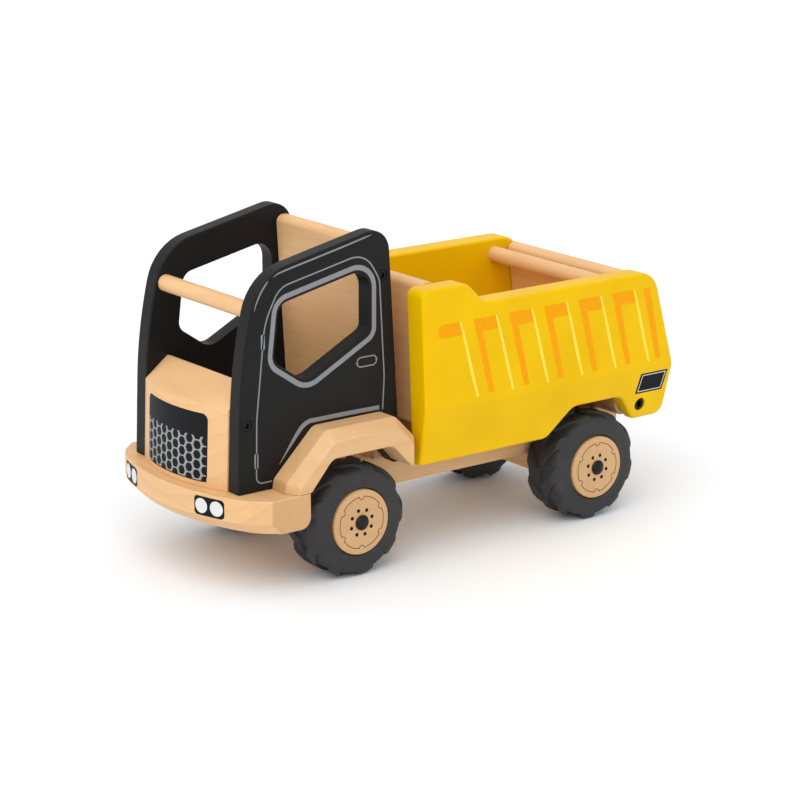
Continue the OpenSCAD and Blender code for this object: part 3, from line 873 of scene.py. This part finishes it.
def build_box_sides():
    bolt = (PIVOT_X, PIVOT_Z, [(4.1, None), (4.1, BOX_Y - 9.7), (3.05, BOX_Y - 9.7), (3.05, BOX_IN_Y)])
    blind = [(-WHEELBASE - 20.5, 143.5, 5.0), (-WHEELBASE - 36, 145, 2.0), (-55, 105, 3.0), (-55, 145, 3.0)]
    blind += [(-90 - 40 * k, 85.6, 3.0) for k in range(3)]
    bores = [bolt] + [blind_bore(x, z, radius, BOX_IN_Y, 8.0) for x, z, radius in blind]
    levels = [CREASE_Z - CREASE_SOFT, CREASE_Z - 0.6, CREASE_Z + 0.6, CREASE_Z + CREASE_SOFT]
    panel("box_side", rounded(BOX_OUTLINE), box_outer, BOX_IN_Y, YELLOW, "box_paint", BOX_EDGE,
          (), bores, levels)


def dress_plain_nodes():
    """Looks for the CAD nodes that stay as they are."""
    looks = {
        "windscreen_dowel": wood("dowel_look", "Y", 14.0), "box_dowel": wood("box_dowel_look", "Y", 15.0),
        "bumper_dowels": wood("peg_look", "X", 16.0), "mudguard_dowels": wood("mudguard_peg_look", "Y", 17.0),
        "box_pegs": wood("box_peg_look", "Y", 18.0), "pivot_inserts": BRASS,
    }
    steel = ("chassis_screws", "pivot_washers", "front_axle", "rear_axle", "axle_washers", "tailgate_pins")
    looks.update((node, STEEL) for node in steel)
    for node, look in looks.items():
        mesh = NODES[node].data
        if not mesh.materials:
            mesh.materials.append(look)
        for i in range(len(mesh.materials)):
            mesh.materials[i] = look


# ---- Wheels ----

TYRE_W = 30.0
LUGS = 9
LUG_PITCH = 2 * math.pi / LUGS
CHEVRON = math.radians(28)

# Across a tyre from bead to middle, as (radius, depth)
SIDEWALL = [
    (19.5, 1.7), (19.85, 1.3), (20.1, 0.45), (20.5, 0.08), (21.0, 0.0), (21.7, 0.10), (22.2, 0.42),
    (22.8, 0.68), (24.5, 0.80), (26.8, 0.90), (28.8, 1.05),
]
# The same on a lug's top and on the ground between the lugs
TREAD = [
    (29.8, 1.25, 29.8, 1.28), (30.6, 1.50, 30.4, 1.70), (31.4, 1.85, 30.9, 2.35), (32.2, 2.30, 31.3, 3.10),
    (32.9, 2.85, 31.6, 3.90), (33.5, 3.55, 31.8, 4.70), (33.85, 4.40, 31.95, 5.50), (34.0, 5.50, 32.0, 6.40),
    (34.0, 7.20, 32.0, 7.60), *[(34.0, depth, 32.0, depth) for depth in (9.0, 11.0, 13.0, 14.2)],
]
TYRE_ROWS = [(*row, *row) for row in SIDEWALL] + TREAD
# A lug's edge: share of the pitch round the tyre, and how far the lug has risen there
WALL = [(0.0, 0.0), (0.010, 0.12), (0.026, 0.85), (0.048, 1.0)]
LUG_SHARE = 0.46


def tyre_columns():
    """One pitch round a tyre: share of the pitch, height there of the outer lug and of the inner lug."""
    lug = WALL + [(0.048 + (LUG_SHARE - 0.096) * k / 6, 1.0) for k in range(1, 6)]
    lug += [(LUG_SHARE - place, height) for place, height in reversed(WALL)]
    outer = [(place, height, 0.0) for place, height in lug] + [(0.48, 0.0, 0.0)]
    inner = [(0.5 + place, 0.0, height) for place, height in lug] + [(0.98, 0.0, 0.0)]
    return outer + inner


def build_tyre(name, x, side, phase):
    rows = [(r, d, gr, gd, 1) for r, d, gr, gd in TYRE_ROWS]
    rows += [(34.0, TYRE_W / 2, 32.0, TYRE_W / 2, 0)]
    rows += [(r, TYRE_W - d, gr, TYRE_W - gd, -1) for r, d, gr, gd in reversed(TYRE_ROWS)]
    columns = [((k + share) * LUG_PITCH, out, inn) for k in range(LUGS) for share, out, inn in tyre_columns()]
    soft = 3.0
    reach = math.hypot(soft, TYRE_W / 2) - soft
    outer_y = HUB_BACK_Y + TYRE_W
    verts = []
    for angle, out, inn in columns:
        for r, d, gr, gd, half in rows:
            shear = CHEVRON * (math.hypot(soft, abs(d - TYRE_W / 2)) - soft) / reach
            height = out if half > 0 else inn if half < 0 else 0.0
            radius = (gr + (r - gr) * height) * MM
            depth = gd + (d - gd) * height
            turn = phase + angle + shear
            z = AXLE_Z * MM + radius * math.sin(turn)
            verts.append(Vector((x + radius * math.cos(turn), side * (outer_y - depth) * MM, z)))
    return mesh_object(name, verts, lattice(len(columns), len(rows), True, True), RUBBER, 50)


def hub_profile():
    """(radius, y) round a hub, from the outer edge of its bore and back to it."""
    bore, bevel = 2.56, 1.1
    rim = [(HUB_R - bevel + bevel * math.sin(t), HUB_FACE_Y - bevel + bevel * math.cos(t))
           for t in [math.radians(15 * k) for k in range(7)]]
    back = [(r, HUB_FACE_Y + HUB_BACK_Y - y) for r, y in reversed(rim)]
    return [(bore, HUB_FACE_Y), (4.0, HUB_FACE_Y), (9.0, HUB_FACE_Y), (14.0, HUB_FACE_Y), *rim,
            (HUB_R, 60.0), (HUB_R, 45.0), *back, (14.0, HUB_BACK_Y), (9.0, HUB_BACK_Y), (bore, HUB_BACK_Y),
            (bore, HUB_FACE_Y)]


def circle(centre, radius, sides):
    turns = [2 * math.pi * k / sides for k in range(sides)]
    return [centre + radius * Vector((math.cos(t), math.sin(t))) for t in turns]


def print_hub(label, x, side, dots):
    """A thin burnt line and a ring of eight dots, which starts at the angle dots in degrees."""
    body = "wheel_" + label

    def lay(a, b, lift):
        return Vector((x + a * MM, side * (HUB_FACE_Y + lift) * MM, AXLE_Z * MM + b * MM))

    line = Print(lay, 0.05)
    line.ribbon(bitten_ring(15.6, 1.7, 6), 0.5, True)
    line.build("hub_" + label + "_line", BROWN_INK, body)
    spots = Print(lay, 0.05)
    for k in range(8):
        t = math.radians(dots + 45 * k)
        spots.filled(circle(7.7 * Vector((-math.cos(t), math.sin(t))), 1.15, 16))
    spots.build("hub_" + label + "_dots", BLACK_INK, body)


def build_wheel(label, x, side, phase, dots, grain, seed):
    tyre = build_tyre("tyre_" + label + "_treaded", x, side, phase)
    stand_in(tyre, "tyre_rubber", "tyre_" + label)
    look = wood("hub_" + label + "_look", grain, seed + side, 0.80)
    hub = spin("hub_" + label + "_turned", hub_profile(), (x, AXLE_Z * MM), side, look)
    stand_in(hub, "hub_wood", "hub_" + label)
    print_hub(label, x, side, dots)


def bitten_ring(ring, bite, notches):
    """The circle round a hub's face, with half-round bites towards the middle."""
    points, gap = [], math.asin(bite / ring)
    for k in range(notches):
        centre = math.radians(90 + 360 / notches * k)
        spot = Vector((math.cos(centre), math.sin(centre))) * ring
        for j in range(9):
            t = centre - math.pi / 2 - math.pi * j / 8
            points.append(spot + bite * Vector((math.cos(t), math.sin(t))))
        for j in range(1, 12):
            t = centre + gap + (2 * math.pi / notches - 2 * gap) * j / 12
            points.append(ring * Vector((math.cos(t), math.sin(t))))
    return points


# A domed cap from its crown outwards and back inside: radius, and height over its foot
CAP_PROFILE = [
    (0.0, 1.9), (0.9, 1.86), (1.8, 1.74), (2.7, 1.5), (3.3, 1.2), (3.6, 0.85), (3.75, 0.62), (4.1, 0.6),
    (4.45, 0.52), (4.6, 0.3), (4.6, 0.08), (4.5, 0.0), (2.6, 0.0), (2.6, 0.45), (0.0, 0.45),
]


def build_caps():
    """Domed push-on caps at the axle ends."""
    foot = HUB_FACE_Y + 0.3
    profile = [(radius, foot + height) for radius, height in CAP_PROFILE]
    caps = [spin("cap", profile, (x, AXLE_Z * MM), side, OXIDE, 48)
            for x in (FRONT_X, REAR_X) for side in SIDES.values()]
    stand_in(join(caps, "axle_caps_domed"), "black_screw", "axle_caps")


def join(parts, name):
    bm = bmesh.new()
    for part in parts:
        bm.from_mesh(part.data)
    look = parts[0].data.materials[0]
    mesh = bpy.data.meshes.new(name)
    bm.to_mesh(mesh)
    bm.free()
    for part in parts:
        bpy.data.objects.remove(part)
    return finish_mesh(name, mesh, look, 35)


def socket_screw(x, z, y, side, head_r, head_t, shank_r, length):
    """A hex-socket screw along Y with its head's outer face at y."""
    hexagon = head_r * 0.5
    soft = 0.35
    profile = [
        (0.0, y - head_t * 0.62), (hexagon * 0.96, y - head_t * 0.6), (hexagon, y - 0.25), (hexagon * 1.1, y),
        (head_r - soft, y), (head_r - soft * 0.3, y - soft * 0.3), (head_r, y - soft), (head_r, y - head_t),
        (shank_r, y - head_t), (shank_r, y - length + shank_r * 1.5), (0.0, y - length),
    ]

    def shape(i, angle, radius):
        if 1 <= i <= 3:
            return radius / math.cos((angle + math.pi / 6) % (math.pi / 3) - math.pi / 6)
        return radius

    return spin("screw", profile, (FRONT_X + x * MM, z * MM), side, OXIDE, 48, shape)


def build_screws():
    cab = [socket_screw(x, z, CAB_Y - 0.3, side, 3.2, 2.4, 2.0, 29.4)
           for x, z in CAB_SCREWS for side in SIDES.values()]
    stand_in(join(cab, "cab_screws_socket"), "black_screw", "cab_screws")
    bolts = [socket_screw(PIVOT_X, PIVOT_Z, BOX_Y - 6, side, 3.6, 3.4, 3.0, 28) for side in SIDES.values()]
    stand_in(join(bolts, "pivot_bolts_socket"), "black_screw", "pivot_bolts")


# ---- Printed markings, and the painted highlights on the cab's rounded edges ----

# Lines of varying width on the cab, as (x, z, width): the roof line and the pillar stroke are painted
# highlights along the rounded edge, the arch line is print
CAB_STROKES_AND_EDGE_HIGHLIGHTS = (
    [(50.2, 183.6, 0.25), (45, 185.7, 0.9), (24, 190.1, 1.0), (4, 194.2, 1.0), (-12, 197.7, 0.9),
     (-18, 199.0, 0.25)],
    [(63.4, 165.8, 0.2), (61.9, 170.2, 0.8), (58.8, 175.8, 1.0), (55.6, 179.9, 0.9), (53.8, 181.8, 0.2)],
    [(47.4, 74.2, 0.25), (42.2, 80.8, 1.2), (36.4, 88.2, 2.3), (31.2, 93.8, 2.8), (26.6, 96.0, 2.7),
     (21.5, 96.2, 2.6), (0.0, 96.2, 2.6), (-23.6, 95.9, 2.6)],
)
DOOR_LINE = [
    (52.6, 65.3, 0), (63.3, 65.3, 4), (62.6, 103, 60), (56.5, 158, 40), (46.5, 177, 14),
    (-13.5, 189.2, 15), (-23.8, 172, 14), (-25.9, 135, 60), (-27.2, 114, 60), (-26, 94.2, 0),
]
DOOR_HANDLE = [(-7.6, 122.2, 2.8), (-21.6, 122.2, 2.8), (-21.6, 127.8, 2.8), (-7.6, 127.8, 2.8)]
DOOR_HINGES = ((57.9, 147.2), (63.2, 78.8))


def cab_surface(side):
    """The cab side's outer face, down to where its rounded edge begins to turn away."""
    edge, rim = rounded(CAB_OUTLINE), CAB_EDGE

    def lay(x, z, lift):
        spot = Vector((x, z))
        near = rim
        for p, q in zip(edge, edge[1:] + edge[:1]):
            run = q - p
            share = max(0.0, min(1.0, (spot - p).dot(run) / max(1e-9, run.length_squared)))
            near = min(near, (spot - p - run * share).length)
        drop = rim - math.sqrt(rim * rim - (rim - near) ** 2)
        return at(x, side * (CAB_Y - drop + lift), z)

    return lay


def print_cab_and_edge_highlights(name, side):
    film = Print(cab_surface(side))
    window = rounded(BAND_OUTLINE)
    sideways = normals_of(window, True)
    outwards = -1 if is_inside(window[0] + sideways[0] * 0.05, window) else 1
    film.ribbon([p + n * outwards * 2.0 for p, n in zip(window, sideways)], 3.0, True)
    film.ribbon(rounded(DOOR_LINE, 6, False), 0.85)
    for x, z in DOOR_HINGES:
        corners = [(x - 1.4, z - 4.6), (x + 1.3, z - 4.6), (x + 1.3, z + 4.6), (x - 1.4, z + 4.6)]
        film.filled(rounded([(*corner, 1.2) for corner in corners], 4))
    film.ribbon(rounded(DOOR_HANDLE, 6), 0.75, True)
    # The roof line and the pillar stroke paint the highlight of the rounded edge; the arch line is print
    for path in CAB_STROKES_AND_EDGE_HIGHLIGHTS:
        film.ribbon(*smooth_path(path))
    film.build("cab_print_and_edge_highlight_" + name, SILVER_INK_AND_EDGE_HIGHLIGHT, "truck")


def print_bars(film):
    """Slanted orange bars with an arm along the top. The first is an arm alone, the last a plain bar."""
    high, low, foot = 144.5, 136.4, 98.5
    slope, pitch, width = 0.272, 26.95, 4.9
    lean = slope * (high - low)
    for k in range(6):
        front, back = -77.2 + pitch * (1 - k), -94.3 + pitch * (1 - k)
        if k == 0:
            arm = [(-51.0, high, 4.0), (back, high, 0), (back - lean, low, 0), (-51.0, low, 4.0)]
            film.filled(rounded(arm, 6))
            continue
        inner = [(front - width - lean, low), (front - lean, low)]
        film.shape([(front, high), (back, high), (back - lean, low), *inner], [(0, 1, 2, 3, 4)])
        bottom = front - slope * (high - foot)
        film.shape([*reversed(inner), (bottom - 4.0, foot), (bottom, foot)], [(0, 1, 2, 3)])
    film.shape([(-210.8, high - 0.7), (-215.9, high - 0.7), (-226.3, foot), (-222.2, foot)], [(0, 1, 2, 3)])


def print_box(name, side):
    def lay(x, z, lift):
        return at(x, side * (box_outer(z) + lift), z)

    bars, pale, plate, border = Print(lay, 0.06), Print(lay, 0.09), Print(lay, 0.06), Print(lay, 0.09)
    print_bars(bars)
    for k in range(6):
        top = -67.3 - 27.1 * k
        path = [(top, 144.6, 1.1), (top - 4.2, 131.0, 1.8), (top - 9.4, 112.0, 2.2), (top - 13.8, 97.2, 1.5)]
        pale.ribbon(*smooth_path(path))
    corners = [(-211.5, 89.6), (-233.6, 89.6), (-231.4, 76.4), (-209.3, 76.4)]
    plate.filled(rounded([(*corner, 0.6) for corner in corners], 3))
    line = [(-213.2, 88.3), (-232.0, 88.3), (-230.0, 77.7), (-211.2, 77.7)]
    border.ribbon([Vector(p) for p in line], 0.5, True)
    plate.build("box_plate_" + name, BLACK_INK, "tipper")
    border.build("box_plate_line_" + name, WHITE_INK, "tipper")
    bars.build("box_stripes_" + name, ORANGE_INK, "tipper")
    pale.build("box_highlights_" + name, PALE_INK, "tipper")


def round_box(half, low, high, r):
    """Lower and upper edge of a rounded rectangle centred on 0, as functions of the place across it."""
    def cut(a):
        over = max(0.0, abs(a) - (half - r))
        return r - math.sqrt(max(0.0, r * r - over * over))
    return lambda a: low + cut(a), lambda a: high - cut(a)


def spread(half, step, r):
    """Places from -half to half, closer together near the rounded ends."""
    count = max(2, int(2 * half / step))
    places = {-half + 2 * half * k / count for k in range(count + 1)}
    for k in range(1, 7):
        inset = r * (1 - math.sin(math.pi / 2 * k / 6))
        places |= {-half + inset, half - inset}
    return sorted(places)


def grille_cells():
    """The dark cells of the grille's net, cut off where they would pass its frame."""
    for column in range(-5, 6):
        y = 1.55 + 6.15 * (column - 0.5)
        for row in range(6):
            z = (67.55 if column % 2 == 0 else 64.7) + 5.73 * row
            outline = rounded([(y - 2.95, z, 1.5), (y - 1.6, z - 2.5, 1.4), (y + 1.6, z - 2.5, 1.4),
                               (y + 2.95, z, 1.5), (y + 1.6, z + 2.5, 1.4), (y - 1.6, z + 2.5, 1.4)], 3)
            cell = [Vector((max(-30.2, min(30.2, p.x)), max(63.9, min(90.6, p.y)))) for p in outline]
            if all(max(p[k] for p in cell) - min(p[k] for p in cell) > 0.8 for k in (0, 1)):
                yield cell


def print_grille():
    def lay(y, z, lift):
        return at(grille_x(y, z) + lift, y, z)

    ground, net, cells = Print(lay, 0.05), Print(lay, 0.08), Print(lay, 0.11)
    low, high = round_box(30.6, 63.6, 103.8, 4.0)
    ground.columns(spread(30.6, 2.0, 4.0), low, high)
    ground.build("grille_print_ground", BLACK_INK, "truck")
    low, _ = round_box(29.9, 64.2, 103.0, 3.4)
    net.columns(spread(29.9, 2.0, 3.4), low, lambda y: 90.0)
    net.build("grille_print_mesh", GRILLE_INK, "truck")
    for cell in grille_cells():
        cells.filled(cell)
    cells.build("grille_print_cells", BLACK_INK, "truck")


def print_headlights():
    def lay(y, z, lift):
        """The bumper's bowed front, and the straight parts at its ends."""
        arc = 93.0 - 150.0 + math.sqrt((150.0 + lift) ** 2 - y * y)
        end = 77.5 + (64.2 - abs(y)) * 0.491 + lift * 1.1
        return at(min(arc, end), y, z)

    def patch(film, centre, half, bottom, top, radius, step):
        low, high = round_box(half, bottom, top, radius)
        places = [centre + a for a in spread(half, step, radius)]
        film.columns(places, lambda y: low(y - centre), lambda y: high(y - centre))

    plates, lamps = Print(lay, 0.06), Print(lay, 0.10)
    for middle_y in (-41.0, 41.0):
        patch(plates, middle_y, 10.6, 47.3, 58.6, 2.4, 1.2)
        for place in (-5.4, 5.4):
            patch(lamps, middle_y + place, 4.4, 48.55, 57.35, 4.4, 0.8)
    plates.build("headlight_plates", BLACK_INK, "truck")
    lamps.build("headlight_lamps", WHITE_INK, "truck")


# ---- Floor ----

def build_floor():
    made, tree, bsdf, place = material("floor_look", "X", 0.5)
    cloud = noise(tree, place, 0.004, 2.0)
    colour = mix(tree, cloud, (0.905, 0.930, 0.960, 1), (0.915, 0.938, 0.965, 1))
    tree.links.new(colour, bsdf.inputs["Base Color"])
    bsdf.inputs["Roughness"].default_value = 0.75
    bsdf.inputs["Specular IOR Level"].default_value = 0.2
    rim = circle(Vector((0, 0)), 14.0, 96)
    floor = mesh_object("floor", [(p.x, p.y, 0) for p in rim], [tuple(range(len(rim)))], made)
    if floor.data.polygons[0].normal.z < 0:
        floor.data.flip_normals()


make_camera()
make_world()
make_light("key", "SUN", 28, 54, 1.08, 60)
make_light("softbox", "AREA", 52, 40, 7.5, 1.6, 2.6)
build_floor()
build_soft_boards()
build_grille_block(wood("grille_block_look", "Y", 7.0))
build_cab_sides()
build_box_sides()
dress_plain_nodes()
for wheel_side, wheel_sign in SIDES.items():
    build_wheel("front_" + wheel_side, FRONT_X, wheel_sign, math.radians(-10), 17.5, "X", 20.0)
    build_wheel("rear_" + wheel_side, REAR_X, wheel_sign, math.radians(5), 29.0, "Z", 24.0)
    print_cab_and_edge_highlights(wheel_side, wheel_sign)
    print_box(wheel_side, wheel_sign)
build_caps()
build_screws()
print_grille()
print_headlights()
